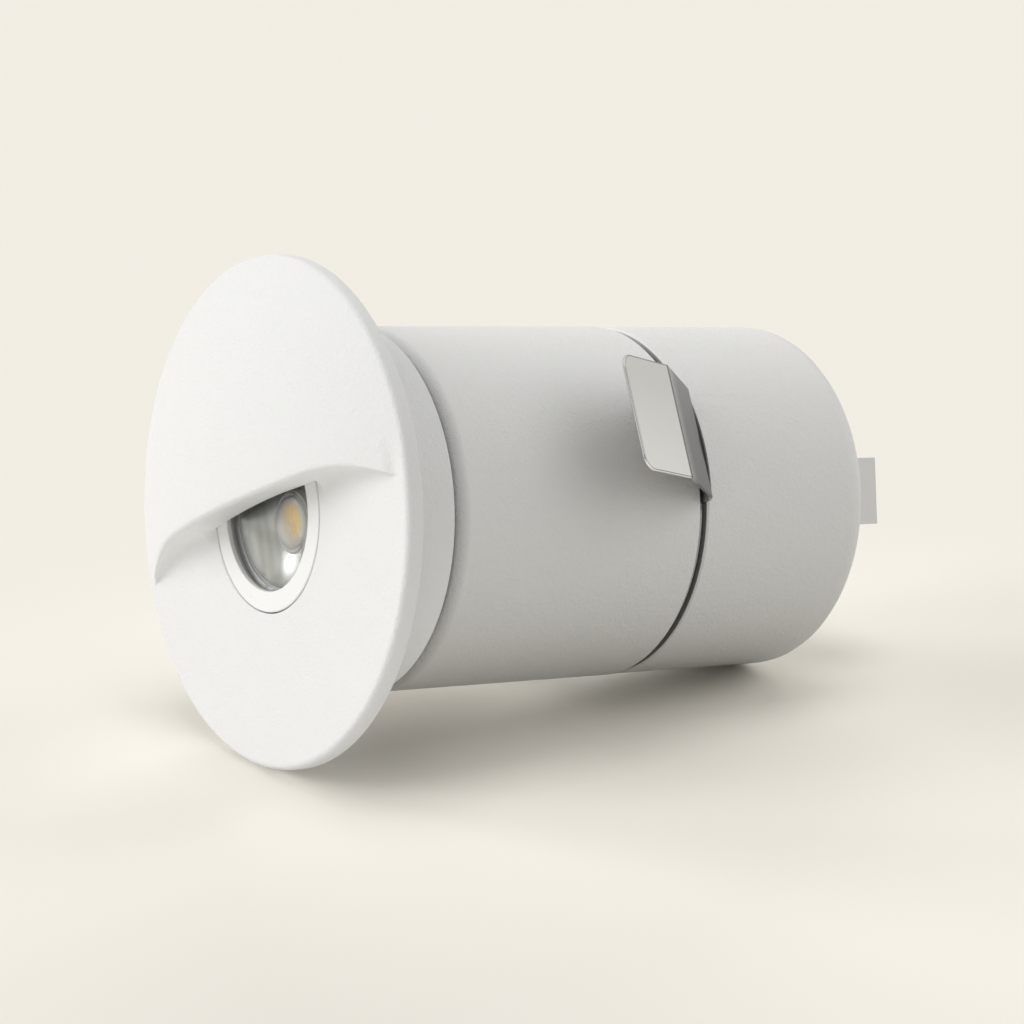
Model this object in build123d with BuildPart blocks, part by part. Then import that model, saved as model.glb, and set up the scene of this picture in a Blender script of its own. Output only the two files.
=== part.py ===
from build123d import *
import os
from math import cos, radians, sin, sqrt

# A recessed step light. The lamp's axis is Y: the front faces -Y, the body runs back along +Y
# into the wall, and Z is up. The origin is on the axis, in the plane of the wall.

# ---------------------------------------------------------------- driving dimensions, mm
# Front casting: a round flange with an eyelid hood over the upper half
bezel_radius = 40.0
face_height = 2.9            # flat lower face, above the wall
rim_round = 1.0
dome_height = 10.2           # middle of the hood, above the wall
dome_rim = 2.4               # the hood's dome where it reaches the rim
lip_level = 1.2              # underside of the hood, above the axis
lip_flat = 20.0              # half length of the straight middle of the lip
lip_curve = 37.0             # radius of the lip's drooping ends
cut_margin = 1.0             # how far the cut below the lip passes the casting
collar_radius = 29.3
collar_length = 12.8
collar_bore = 26.0
boss_count = 3
boss_radius = 21.5
boss_tilt = 90.0             # angle of the first heat sink screw, from +X

# Wall gasket, flush in the back of the flange
gasket_inner = 32.0
gasket_outer = 36.0
gasket_depth = 0.9

# Light opening: trim ring, window, reflector, LED
ring_outer = 15.5
ring_inner = 12.25
ring_gap = 0.15              # the fine dark line around the trim ring
ring_lip = 0.8
ring_wall = 2.1
ring_flange = 1.9
ring_step = 1.0              # front of the ring's rear flange, behind the wall plane
ring_edge = 0.15
window_gasket_thickness = 0.25
window_thickness = 1.0
window_clearance = 0.2
reflector_depth = 2.5
reflector_mouth = 11.9
reflector_waist = 9.6
reflector_throat = 5.0
reflector_waist_share = 0.6
optic_drop = 1.7             # LED below the axis
lens_radius = 4.75
lens_height = 2.3
emitter_radius = 3.8
emitter_height = 0.4
emitter_clearance = 0.1
led_board_thickness = 1.6
pad_thickness = 0.4

# Heat sink
sink_clearance = 0.3
sink_base = 2.5
sink_fin_height = 5.5
sink_fin_thickness = 1.2
sink_fin_pitch = 5.0
sink_fin_count = 7
sink_fin_radius = 18.0
sink_screw_radius = 1.5
sink_screw_head = 2.7
sink_screw_head_height = 1.8
sink_screw_bite = 2.2
screw_slot_width = 0.7
screw_slot_depth = 0.6

# Tube between the collar and the groove
joint_seal_thickness = 0.5
joint_seal_inset = 1.0
tube_radius = 29.0
tube_back = 60.2
tube_front_round = 1.9
tube_back_round = 0.3
tube_bore = 25.4
tube_front_wall = 3.0
tube_cored_radius = 26.6
tube_core_margin = 4.0
spigot_length = 3.0
spigot_clearance = 0.15
spigot_wall = 2.3

# Rear cap, on the tube's rear spigot
groove_width = 1.2
cap_radius = 28.9
cap_back = 96.4
cap_round = 4.3
cap_wall = 3.5
cap_chamfer = 0.5
rear_spigot_wall = 1.6
rear_spigot_length = 6.0
cap_bore_clearance = 0.1
cap_seal_section = 1.0
cap_seal_place = 3.4         # behind the tube's end

# Spring clips in the groove
clip_angle = 4.5             # first clip above +X, the second is opposite
clip_width = 18.6
clip_thickness = 0.5
clip_root_radius = 29.6
clip_crease_radius = 40.9
clip_crease_back = 48.3
clip_tip_radius = 46.5
clip_tip_back = 35.5
clip_corner = 2.4
clip_bend = 1.2
clip_gap = 0.15
edge_match = 0.01            # tolerance when an edge is found by its length
clip_ring_clearance = 0.1
clip_ring_width = 1.1
notch_depth = 1.1
notch_margin = 0.7
notch_floor = 0.4            # notch floor above the cap's bore

# Driver inside the tube
sleeve_clearance = 0.2
sleeve_wall = 1.0
sleeve_end_gap = 0.3
lead_window = 14.0
board_level = -9.0
board_thickness = 1.6
board_edge_gap = 0.2
board_front_gap = 3.0
board_back_gap = 8.0
lead_radius = 0.8
lead_hole_clearance = 0.4
lead_spacing = 2.5
lead_overlap = 5.0
core_width = 19.0
core_length_share = 0.26
core_height = 15.0
core_leg = 4.5
core_share = 0.602           # middle of the transformer, as a share of the board's length
winding_radius = 5.6
winding_clearance = 0.3
can_radius = 5.0
can_height = 17.0
can_pitch_share = 0.184
can_side = -12.0
can_share = 0.153
can_bead = 0.35
film_width = 6.0
film_length_share = 0.214
film_height = 11.0
film_side = 12.5
film_share = 0.877
choke_radius = 5.0
choke_waist_radius = 4.25
choke_height = 9.0
choke_flange = 1.2
choke_side = 12.5
choke_share = 0.337
fuse_radius = 1.8
fuse_length_share = 0.138
fuse_share = 0.877
fuse_side = -14.0
chip_width = 6.0
chip_length_share = 0.12
chip_height = 2.4
front_chip_side = 4.0
front_chip_share = 0.184
rear_chip_share = 0.368

# Terminal block on the cap
terminal_turn = 12.2         # the block is turned against the eyelid, as the cap came to rest
terminal_width = 26.0
terminal_height = 11.4
terminal_reach = 15.6        # behind the cap
terminal_seal = 0.8
terminal_edge = 0.5
terminal_poles = 3
terminal_pitch = 7.6
slot_width = 20.0
slot_height = 5.0
contact_width = 5.0
contact_height = 5.0
contact_length = 8.0
contact_clearance = 0.1
contact_back_wall = 3.5
wire_entry_radius = 1.6
wire_radius = 1.0
wire_bite = 2.5
wire_overlap = 6.0
wire_straight = 3.0
wire_bend = 2.5
clamp_radius = 1.1
clamp_head_radius = 1.9
clamp_head_height = 1.5
clamp_head_sunk = 0.6
clamp_clearance = 0.1

# ---------------------------------------------------------------- stack along the axis
ring_front = -face_height
window_gasket_front = ring_front + ring_lip
window_front = window_gasket_front + window_gasket_thickness
window_back = window_front + window_thickness
led_board_front = window_back + reflector_depth
led_board_back = led_board_front + led_board_thickness
web_back = led_board_back + pad_thickness
sink_back = web_back + sink_base
tube_front = collar_length + joint_seal_thickness
cap_front = tube_back + groove_width
groove_middle = tube_back + groove_width / 2
cap_floor = cap_back - cap_wall

pocket_radius = ring_outer - ring_wall
optic_radius = pocket_radius - window_clearance
rear_spigot_radius = tube_bore + rear_spigot_wall
cap_bore = rear_spigot_radius + cap_bore_clearance
sleeve_radius = tube_bore - sleeve_clearance
sleeve_front = tube_front + tube_front_wall
sleeve_back = cap_floor - sleeve_end_gap
sleeve_bore = sleeve_radius - sleeve_wall
board_top = board_level + board_thickness / 2
board_front = sleeve_front + board_front_gap
board_back = sleeve_back - board_back_gap
board_length = board_back - board_front
board_half_width = sqrt(sleeve_bore**2 - (abs(board_level) + board_thickness / 2) ** 2) - board_edge_gap
lead_level = board_top + lead_radius
core_length = board_length * core_length_share
can_pitch = board_length * can_pitch_share
terminal_front = cap_back + terminal_seal
terminal_back = cap_back + terminal_reach
contact_back = terminal_back - contact_back_wall
contact_front = contact_back - contact_length

os.makedirs("parts", exist_ok=True)


def finish(name, piece):
    """Label a finished piece and write its file."""
    piece.part.label = name
    export_step(piece.part, f"parts/{name}.step")


def corner(profile, radius, y):
    """The corner of a turned profile nearest to a radius and a depth."""
    return profile.vertices().sort_by_distance((radius, y, 0))[0]


def across(y):
    """Plane square to the axis at depth y. Its X and Y are the lamp's X and Z, extrude(-h) goes back."""
    return Plane.XZ.offset(-y)


# the terminal block's own sideways and upward directions
block_side = Vector(cos(radians(terminal_turn)), 0, -sin(radians(terminal_turn)))
block_up = Vector(sin(radians(terminal_turn)), 0, cos(radians(terminal_turn)))


def turned(y):
    """The plane at depth y for the terminal block, which is turned about the axis."""
    return Plane(origin=(0, y, 0), x_dir=block_side, z_dir=(0, -1, 0))


# ---------------------------------------------------------------- front casting
sphere_rise = dome_height - dome_rim
sphere_radius = (bezel_radius**2 + sphere_rise**2) / (2 * sphere_rise)


def dome_at(radius):
    """Height of the dome above the wall at a distance from the axis."""
    return dome_height - sphere_radius + sqrt(sphere_radius**2 - radius**2)


reach = bezel_radius + cut_margin
lip_end_level = lip_level - lip_curve + sqrt(lip_curve**2 - (reach - lip_flat) ** 2)

with BuildPart() as hood:
    with BuildSketch(Plane.XY) as profile:
        with BuildLine():
            ThreePointArc(
                (0, -dome_height),
                (bezel_radius / 2, -dome_at(bezel_radius / 2)),
                (bezel_radius, -dome_rim),
            )
            Polyline((bezel_radius, -dome_rim), (bezel_radius, 0), (0, 0), (0, -dome_height))
        make_face()
        fillet(corner(profile, bezel_radius, -dome_rim), radius=rim_round)
    revolve(axis=Axis.Y)
    with BuildSketch(Plane.XZ):
        with BuildLine():
            Line((-lip_flat, lip_level), (lip_flat, lip_level))
            TangentArc((lip_flat, lip_level), (reach, lip_end_level), tangent=(1, 0))
            Polyline((reach, lip_end_level), (reach, -reach), (-reach, -reach), (-reach, lip_end_level))
            TangentArc((-lip_flat, lip_level), (-reach, lip_end_level), tangent=(-1, 0))
        make_face()
    extrude(amount=dome_height + cut_margin, mode=Mode.SUBTRACT)

with BuildPart() as bezel:
    with BuildSketch(Plane.XY) as profile:
        with BuildLine():
            Polyline(
                (0, -face_height),
                (bezel_radius, -face_height),
                (bezel_radius, 0),
                (collar_radius, 0),
                (collar_radius, collar_length),
                (collar_bore, collar_length),
                (collar_bore, web_back),
                (0, web_back),
                close=True,
            )
        make_face()
        fillet(corner(profile, bezel_radius, -face_height), radius=rim_round)
    revolve(axis=Axis.Y)
    add(hood.part)
    # bore for the trim ring, open to the front below the hood and blind above it
    with BuildSketch(across(ring_front)):
        Circle(ring_outer + ring_gap)
    extrude(amount=-(web_back - ring_front), mode=Mode.SUBTRACT)
    with BuildSketch(across(ring_step)):
        Circle(ring_outer + ring_flange + ring_gap)
    extrude(amount=-(web_back - ring_step), mode=Mode.SUBTRACT)
    # channel for the wall gasket
    with BuildSketch(across(-gasket_depth)):
        Circle(gasket_outer)
        Circle(gasket_inner, mode=Mode.SUBTRACT)
    extrude(amount=-gasket_depth, mode=Mode.SUBTRACT)
    # screw holes for the heat sink
    with BuildSketch(across(web_back - sink_screw_bite - sink_clearance)):
        with PolarLocations(boss_radius, boss_count, start_angle=boss_tilt):
            Circle(sink_screw_radius)
    extrude(amount=-(sink_screw_bite + sink_clearance), mode=Mode.SUBTRACT)
finish("bezel", bezel)

with BuildPart() as wall_gasket:
    with BuildSketch(across(-gasket_depth)):
        Circle(gasket_outer)
        Circle(gasket_inner, mode=Mode.SUBTRACT)
    extrude(amount=-gasket_depth)
finish("wall_gasket", wall_gasket)

# ---------------------------------------------------------------- light opening
with BuildPart() as trim_ring:
    with BuildSketch(Plane.XY) as profile:
        with BuildLine():
            Polyline(
                (ring_inner, ring_front),
                (ring_outer, ring_front),
                (ring_outer, ring_step),
                (ring_outer + ring_flange, ring_step),
                (ring_outer + ring_flange, web_back),
                (pocket_radius, web_back),
                (pocket_radius, window_gasket_front),
                (ring_inner, window_gasket_front),
                close=True,
            )
        make_face()
        fillet((corner(profile, ring_inner, ring_front), corner(profile, ring_outer, ring_front)), radius=ring_edge)
    revolve(axis=Axis.Y)
finish("trim_ring", trim_ring)

with BuildPart() as window_gasket:
    with BuildSketch(across(window_gasket_front)):
        Circle(optic_radius)
        Circle(ring_inner, mode=Mode.SUBTRACT)
    extrude(amount=-window_gasket_thickness)
finish("window_gasket", window_gasket)

with BuildPart() as window:
    with BuildSketch(across(window_front)):
        Circle(optic_radius)
    extrude(amount=-window_thickness)
finish("window", window)

# A shallow bowl from the round mouth down to the LED, which sits below the axis
with BuildPart() as reflector:
    with BuildSketch(across(window_back)):
        Circle(optic_radius)
    extrude(amount=-reflector_depth)
    with BuildSketch(across(window_back)):
        Circle(reflector_mouth)
    with BuildSketch(across(window_back + reflector_depth * reflector_waist_share)):
        with Locations((0, -optic_drop * reflector_waist_share)):
            Circle(reflector_waist)
    with BuildSketch(across(led_board_front)):
        with Locations((0, -optic_drop)):
            Circle(reflector_throat)
    loft(mode=Mode.SUBTRACT)
finish("reflector", reflector)

lens_sphere = (lens_radius**2 + lens_height**2) / (2 * lens_height)
lens_axis = Axis((0, 0, -optic_drop), (0, 1, 0))
lens_plane = Plane.XY.offset(-optic_drop)

with BuildPart() as led_lens:
    with BuildSketch(lens_plane):
        with BuildLine():
            mid_drop = lens_sphere - sqrt(lens_sphere**2 - (lens_radius / 2) ** 2)
            ThreePointArc(
                (0, led_board_front - lens_height),
                (lens_radius / 2, led_board_front - lens_height + mid_drop),
                (lens_radius, led_board_front),
            )
            Polyline(
                (lens_radius, led_board_front),
                (emitter_radius + emitter_clearance, led_board_front),
                (emitter_radius + emitter_clearance, led_board_front - emitter_height - emitter_clearance),
                (0, led_board_front - emitter_height - emitter_clearance),
                (0, led_board_front - lens_height),
            )
        make_face()
    revolve(axis=lens_axis)
finish("led_lens", led_lens)

with BuildPart() as led_emitter:
    with BuildSketch(across(led_board_front - emitter_height)):
        with Locations((0, -optic_drop)):
            Circle(emitter_radius)
    extrude(amount=-emitter_height)
finish("led_emitter", led_emitter)

with BuildPart() as led_board:
    with BuildSketch(across(led_board_front)):
        Circle(optic_radius)
        with Locations((-lead_spacing, lead_level), (lead_spacing, lead_level)):
            Circle(lead_radius + lead_hole_clearance, mode=Mode.SUBTRACT)
    extrude(amount=-led_board_thickness)
finish("led_board", led_board)

with BuildPart() as thermal_pad:
    with BuildSketch(across(led_board_back)):
        Circle(optic_radius)
        with Locations((-lead_spacing, lead_level), (lead_spacing, lead_level)):
            Circle(lead_radius + lead_hole_clearance, mode=Mode.SUBTRACT)
    extrude(amount=-pad_thickness)
finish("thermal_pad", thermal_pad)

# ---------------------------------------------------------------- heat sink
sink_radius = collar_bore - sink_clearance
fin_offset = (sink_fin_count - 1) / 2

with BuildPart() as heat_sink:
    with BuildSketch(across(web_back)):
        Circle(sink_radius)
    extrude(amount=-sink_base)
    with BuildSketch(across(sink_back)):
        with GridLocations(sink_fin_pitch, 0, sink_fin_count, 1):
            Rectangle(sink_fin_thickness, 2 * sink_fin_radius)
        Circle(sink_fin_radius, mode=Mode.INTERSECT)
    extrude(amount=-sink_fin_height)
    with BuildSketch(across(web_back)):
        with Locations((-lead_spacing, lead_level), (lead_spacing, lead_level)):
            Circle(lead_radius + lead_hole_clearance)
        with PolarLocations(boss_radius, boss_count, start_angle=boss_tilt):
            Circle(sink_screw_radius + clamp_clearance)
    extrude(amount=-(sink_base + sink_fin_height), mode=Mode.SUBTRACT)
finish("heat_sink", heat_sink)

with BuildPart() as heat_sink_screws:
    with BuildSketch(across(web_back - sink_screw_bite)):
        with PolarLocations(boss_radius, boss_count, start_angle=boss_tilt):
            Circle(sink_screw_radius)
    extrude(amount=-(sink_base + sink_screw_bite))
    with BuildSketch(across(sink_back)):
        with PolarLocations(boss_radius, boss_count, start_angle=boss_tilt):
            Circle(sink_screw_head)
    extrude(amount=-sink_screw_head_height)
    with BuildSketch(across(sink_back + sink_screw_head_height - screw_slot_depth)):
        with PolarLocations(boss_radius, boss_count, start_angle=boss_tilt):
            Rectangle(screw_slot_width, 2 * sink_screw_head)
    extrude(amount=-screw_slot_depth, mode=Mode.SUBTRACT)
finish("heat_sink_screws", heat_sink_screws)

# ---------------------------------------------------------------- tube
with BuildPart() as collar_gasket:
    with BuildSketch(across(collar_length)):
        Circle(collar_radius - joint_seal_inset)
        Circle(collar_bore, mode=Mode.SUBTRACT)
    extrude(amount=-joint_seal_thickness)
finish("collar_gasket", collar_gasket)

front_spigot_radius = collar_bore - spigot_clearance
front_spigot_bore = front_spigot_radius - spigot_wall
core_front = sleeve_front + tube_core_margin
core_back = tube_back - tube_core_margin
seal_groove_front = tube_back + cap_seal_place - cap_seal_section / 2
seal_groove_back = seal_groove_front + cap_seal_section
seal_groove_radius = rear_spigot_radius - cap_seal_section + cap_bore_clearance

with BuildPart() as front_tube:
    with BuildSketch(Plane.XY) as profile:
        with BuildLine():
            Polyline(
                (front_spigot_bore, collar_length - spigot_length),
                (front_spigot_radius, collar_length - spigot_length),
                (front_spigot_radius, tube_front),
                (tube_radius, tube_front),
                (tube_radius, tube_back),
                (rear_spigot_radius, tube_back),
                (rear_spigot_radius, seal_groove_front),
                (seal_groove_radius, seal_groove_front),
                (seal_groove_radius, seal_groove_back),
                (rear_spigot_radius, seal_groove_back),
                (rear_spigot_radius, tube_back + rear_spigot_length),
                (tube_bore, tube_back + rear_spigot_length),
                (tube_bore, core_back),
                (tube_cored_radius, core_back),
                (tube_cored_radius, core_front),
                (tube_bore, core_front),
                (tube_bore, sleeve_front),
                (front_spigot_bore, sleeve_front),
                close=True,
            )
        make_face()
        fillet(corner(profile, tube_radius, tube_front), radius=tube_front_round)
        fillet(corner(profile, tube_radius, tube_back), radius=tube_back_round)
    revolve(axis=Axis.Y)
finish("front_tube", front_tube)

# ---------------------------------------------------------------- rear cap
def clip_plane(angle):
    """Plane through the axis at an angle above +X: its X is radial, its Y is the lamp's axis."""
    a = radians(angle)
    return Plane(origin=(0, 0, 0), x_dir=(cos(a), 0, sin(a)), z_dir=(-sin(a), 0, cos(a)))


clip_angles = (clip_angle, clip_angle + 180)
notch_radius = cap_bore + notch_floor

with BuildPart() as rear_cap:
    with BuildSketch(Plane.XY) as profile:
        with BuildLine():
            Polyline(
                (cap_bore, cap_front),
                (cap_radius, cap_front),
                (cap_radius, cap_back),
                (0, cap_back),
                (0, cap_floor),
                (cap_bore, cap_floor),
                close=True,
            )
        make_face()
        fillet(corner(profile, cap_radius, cap_back), radius=cap_round)
        chamfer(corner(profile, cap_radius, cap_front), length=cap_chamfer)
    revolve(axis=Axis.Y)
    for angle in clip_angles:
        with BuildSketch(clip_plane(angle)):
            with BuildLine():
                Polyline(
                    (notch_radius, cap_front - groove_width),
                    (notch_radius, cap_front + notch_depth),
                    (cap_radius + notch_margin, cap_front + notch_depth),
                    (cap_radius + notch_margin, cap_front - groove_width),
                    close=True,
                )
            make_face()
        extrude(amount=clip_width / 2 + notch_margin, both=True, mode=Mode.SUBTRACT)
    with BuildSketch(turned(cap_floor)):
        SlotOverall(slot_width, slot_height)
    extrude(amount=-cap_wall, mode=Mode.SUBTRACT)
finish("rear_cap", rear_cap)

with BuildPart() as cap_seal:
    with BuildSketch(Plane.XY):
        with Locations((seal_groove_radius + cap_seal_section / 2, tube_back + cap_seal_place)):
            Circle(cap_seal_section / 2)
    revolve(axis=Axis.Y)
finish("cap_seal", cap_seal)

# ---------------------------------------------------------------- spring clips
clip_root = (clip_root_radius, groove_middle)
clip_line = (clip_root, (clip_crease_radius, clip_crease_back), (clip_tip_radius, clip_tip_back))


def make_clip(name, angle):
    """One leaf: a ramp out of the groove, a crease, and a tab with rounded corners."""
    with BuildPart() as clip:
        with BuildSketch(clip_plane(angle)):
            with BuildLine():
                FilletPolyline(*clip_line, radius=clip_bend + clip_thickness / 2)
            trace(line_width=clip_thickness)
        extrude(amount=clip_width / 2, both=True)
        tip_edges = clip.edges().filter_by(lambda e: abs(e.length - clip_thickness) < edge_match)
        fillet(tip_edges.group_by(Axis.Y)[0], radius=clip_corner)
    finish(name, clip)
    return clip


clip_right = make_clip("clip_right", clip_angles[0])
clip_left = make_clip("clip_left", clip_angles[1])

clip_ring_bore = rear_spigot_radius + clip_ring_clearance
tongue_top = clip_root_radius - clip_thickness / 2 - clip_gap

with BuildPart() as clip_ring:
    with BuildSketch(across(groove_middle - clip_thickness / 2)):
        Circle(clip_ring_bore + clip_ring_width)
        Circle(clip_ring_bore, mode=Mode.SUBTRACT)
    extrude(amount=-clip_thickness)
    for angle in clip_angles:
        with BuildSketch(clip_plane(angle)):
            with BuildLine():
                Polyline(
                    (clip_ring_bore, groove_middle - clip_thickness / 2),
                    (tongue_top, groove_middle - clip_thickness / 2),
                    (tongue_top, groove_middle + clip_thickness / 2),
                    (clip_ring_bore, groove_middle + clip_thickness / 2),
                    close=True,
                )
            make_face()
        extrude(amount=clip_width / 2, both=True)
    with BuildSketch(across(groove_middle - clip_thickness / 2)):
        Circle(clip_ring_bore)
    extrude(amount=-clip_thickness, mode=Mode.SUBTRACT)
finish("clip_ring", clip_ring)

# ---------------------------------------------------------------- driver
with BuildPart() as driver_sleeve:
    with BuildSketch(across(sleeve_front)):
        Circle(sleeve_radius)
    extrude(amount=-(sleeve_back - sleeve_front))
    with BuildSketch(across(sleeve_front + sleeve_wall)):
        Circle(sleeve_bore)
    extrude(amount=-(sleeve_back - sleeve_front - sleeve_wall), mode=Mode.SUBTRACT)
    with BuildSketch(across(sleeve_front)):
        with Locations((0, lead_level)):
            SlotOverall(lead_window, slot_height)
    extrude(amount=-sleeve_wall, mode=Mode.SUBTRACT)
finish("driver_sleeve", driver_sleeve)

deck = Plane.XY.offset(board_top)


def along(share):
    """The place on the board at a share of its length, from its front end."""
    return board_front + board_length * share


with BuildPart() as driver_board:
    with BuildSketch(Plane.XY.offset(board_level - board_thickness / 2)):
        with Locations((0, (board_front + board_back) / 2)):
            Rectangle(2 * board_half_width, board_back - board_front)
    extrude(amount=board_thickness)
finish("driver_board", driver_board)

core_middle = along(core_share)

with BuildPart() as transformer_core:
    with BuildSketch(deck):
        with Locations((0, core_middle)):
            Rectangle(core_width, core_length)
    extrude(amount=core_height)
    with BuildSketch(deck.offset(core_leg / 2)):
        with Locations((0, core_middle)):
            Rectangle(core_width - 2 * core_leg, core_length)
    extrude(amount=core_height - core_leg, mode=Mode.SUBTRACT)
finish("transformer_core", transformer_core)

winding_fit = min(winding_radius, (core_width - 2 * core_leg) / 2 - winding_clearance,
                  (core_height - core_leg) / 2 - winding_clearance)

with BuildPart() as transformer_winding:
    with BuildSketch(across(core_middle - core_length / 2)):
        with Locations((0, board_top + core_height / 2)):
            Circle(winding_fit)
    extrude(amount=-core_length)
    for end in (-1, 1):
        with BuildSketch(across(core_middle + end * (core_length / 2 + winding_clearance))):
            with Locations((0, board_top + core_height / 2)):
                Rectangle(core_width, core_height)
        extrude(amount=-end * core_leg / 2)
        with BuildSketch(across(core_middle + end * core_length / 2)):
            with Locations((0, board_top + core_height / 2)):
                Circle(winding_fit)
        extrude(amount=-end * (core_leg / 2 + winding_clearance))
finish("transformer_winding", transformer_winding)

with BuildPart() as electrolytic_capacitors:
    with BuildSketch(deck):
        with Locations((can_side, along(can_share)), (can_side, along(can_share) + can_pitch)):
            Circle(can_radius)
    extrude(amount=can_height)
    fillet(electrolytic_capacitors.faces().sort_by(Axis.Z)[-2:].edges(), radius=can_bead)
finish("electrolytic_capacitors", electrolytic_capacitors)

with BuildPart() as film_capacitor:
    with BuildSketch(deck):
        with Locations((film_side, along(film_share))):
            RectangleRounded(film_width, board_length * film_length_share, radius=can_bead)
    extrude(amount=film_height)
finish("film_capacitor", film_capacitor)

with BuildPart() as choke:
    with BuildSketch(deck):
        with Locations((choke_side, along(choke_share))):
            Circle(choke_radius)
    extrude(amount=choke_flange)
    with BuildSketch(deck.offset(choke_flange)):
        with Locations((choke_side, along(choke_share))):
            Circle(choke_waist_radius)
    extrude(amount=choke_height - 2 * choke_flange)
    with BuildSketch(deck.offset(choke_height - choke_flange)):
        with Locations((choke_side, along(choke_share))):
            Circle(choke_radius)
    extrude(amount=choke_flange)
finish("choke", choke)

fuse_length = board_length * fuse_length_share

with BuildPart() as fuse:
    with BuildSketch(across(along(fuse_share) - fuse_length / 2)):
        with Locations((fuse_side, board_top + fuse_radius)):
            Circle(fuse_radius)
    extrude(amount=-fuse_length)
finish("fuse", fuse)

with BuildPart() as driver_chips:
    with BuildSketch(deck):
        with Locations((front_chip_side, along(front_chip_share)), (0, along(rear_chip_share))):
            Rectangle(chip_width, board_length * chip_length_share)
    extrude(amount=chip_height)
finish("driver_chips", driver_chips)

with BuildPart() as led_leads:
    with BuildSketch(across(led_board_front)):
        with Locations((-lead_spacing, lead_level), (lead_spacing, lead_level)):
            Circle(lead_radius)
    extrude(amount=-(board_front + lead_overlap - led_board_front))
finish("led_leads", led_leads)

# ---------------------------------------------------------------- terminal block
pole_places = [(i - (terminal_poles - 1) / 2) * terminal_pitch for i in range(terminal_poles)]

with BuildPart() as terminal_gasket:
    with BuildSketch(turned(cap_back)):
        Rectangle(terminal_width, terminal_height)
        SlotOverall(slot_width, slot_height, mode=Mode.SUBTRACT)
    extrude(amount=-terminal_seal)
finish("terminal_gasket", terminal_gasket)

contact_pocket_back = contact_back + contact_clearance

# screws go down into the contacts from the side that faces up when the block is level
clamp_place = (contact_front + contact_back) / 2


def clamp_plane(height):
    """Plane above the contacts, square to the clamp screws, with its Y along the lamp's axis."""
    origin = block_up * height + Vector(0, clamp_place, 0)
    return Plane(origin=origin, x_dir=block_side, z_dir=block_up)


clamp_seat = contact_height / 2
clamp_head_top = terminal_height / 2 - clamp_head_sunk

with BuildPart() as clamp_wells:
    with BuildSketch(clamp_plane(clamp_seat)):
        with Locations(*[(x, 0) for x in pole_places]):
            Circle(clamp_head_radius + clamp_clearance)
    extrude(amount=terminal_height / 2)

with BuildPart() as terminal_screws:
    with BuildSketch(clamp_plane(0)):
        with Locations(*[(x, 0) for x in pole_places]):
            Circle(clamp_radius)
    extrude(amount=clamp_head_top - clamp_head_height)
    with BuildSketch(clamp_plane(clamp_head_top - clamp_head_height)):
        with Locations(*[(x, 0) for x in pole_places]):
            Circle(clamp_head_radius)
    extrude(amount=clamp_head_height)
    with BuildSketch(clamp_plane(clamp_head_top - screw_slot_depth)):
        with Locations(*[(x, 0) for x in pole_places]):
            Rectangle(screw_slot_width, 2 * clamp_head_radius)
    extrude(amount=screw_slot_depth, mode=Mode.SUBTRACT)
finish("terminal_screws", terminal_screws)

# Mains wires: straight off the driver board, across to the block's level, straight into the contacts
with BuildPart() as mains_leads:
    for x in pole_places:
        level_place = block_side * x
        start = Vector(x, board_back - wire_overlap, board_top + wire_radius)
        leave = Vector(x, board_back, board_top + wire_radius)
        arrive = Vector(level_place.X, cap_back - wire_straight, level_place.Z)
        end = Vector(level_place.X, contact_front + wire_bite, level_place.Z)
        with BuildLine() as route:
            FilletPolyline(start, leave, arrive, end, radius=wire_bend)
        with BuildSketch(Plane(origin=start, z_dir=(0, 1, 0))):
            Circle(wire_radius)
        sweep(path=route.wires()[0])
finish("mains_leads", mains_leads)

with BuildPart() as terminal_block:
    with BuildSketch(turned(terminal_front)):
        Rectangle(terminal_width, terminal_height)
    extrude(amount=-(terminal_back - terminal_front))
    chamfer(terminal_block.faces().sort_by(Axis.Y)[-1].edges(), length=terminal_edge)
    with BuildSketch(turned(terminal_front)):
        with Locations(*[(x, 0) for x in pole_places]):
            Rectangle(contact_width + 2 * contact_clearance, contact_height + 2 * contact_clearance)
    extrude(amount=-(contact_pocket_back - terminal_front), mode=Mode.SUBTRACT)
    with BuildSketch(turned(contact_back)):
        with Locations(*[(x, 0) for x in pole_places]):
            Circle(wire_entry_radius)
    extrude(amount=-contact_back_wall, mode=Mode.SUBTRACT)
    add(clamp_wells.part, mode=Mode.SUBTRACT)
finish("terminal_block", terminal_block)

with BuildPart() as terminal_contacts:
    with BuildSketch(turned(contact_front)):
        with Locations(*[(x, 0) for x in pole_places]):
            Rectangle(contact_width, contact_height)
            Circle(wire_radius, mode=Mode.SUBTRACT)
    extrude(amount=-contact_length)
    with BuildSketch(clamp_plane(0)):
        with Locations(*[(x, 0) for x in pole_places]):
            Circle(clamp_radius)
    extrude(amount=contact_height / 2, mode=Mode.SUBTRACT)
finish("terminal_contacts", terminal_contacts)
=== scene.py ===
from math import acos, cos, pi, radians, sin, sqrt, tan

import bmesh
import bpy
import numpy as np
from mathutils import Matrix, Vector


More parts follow.
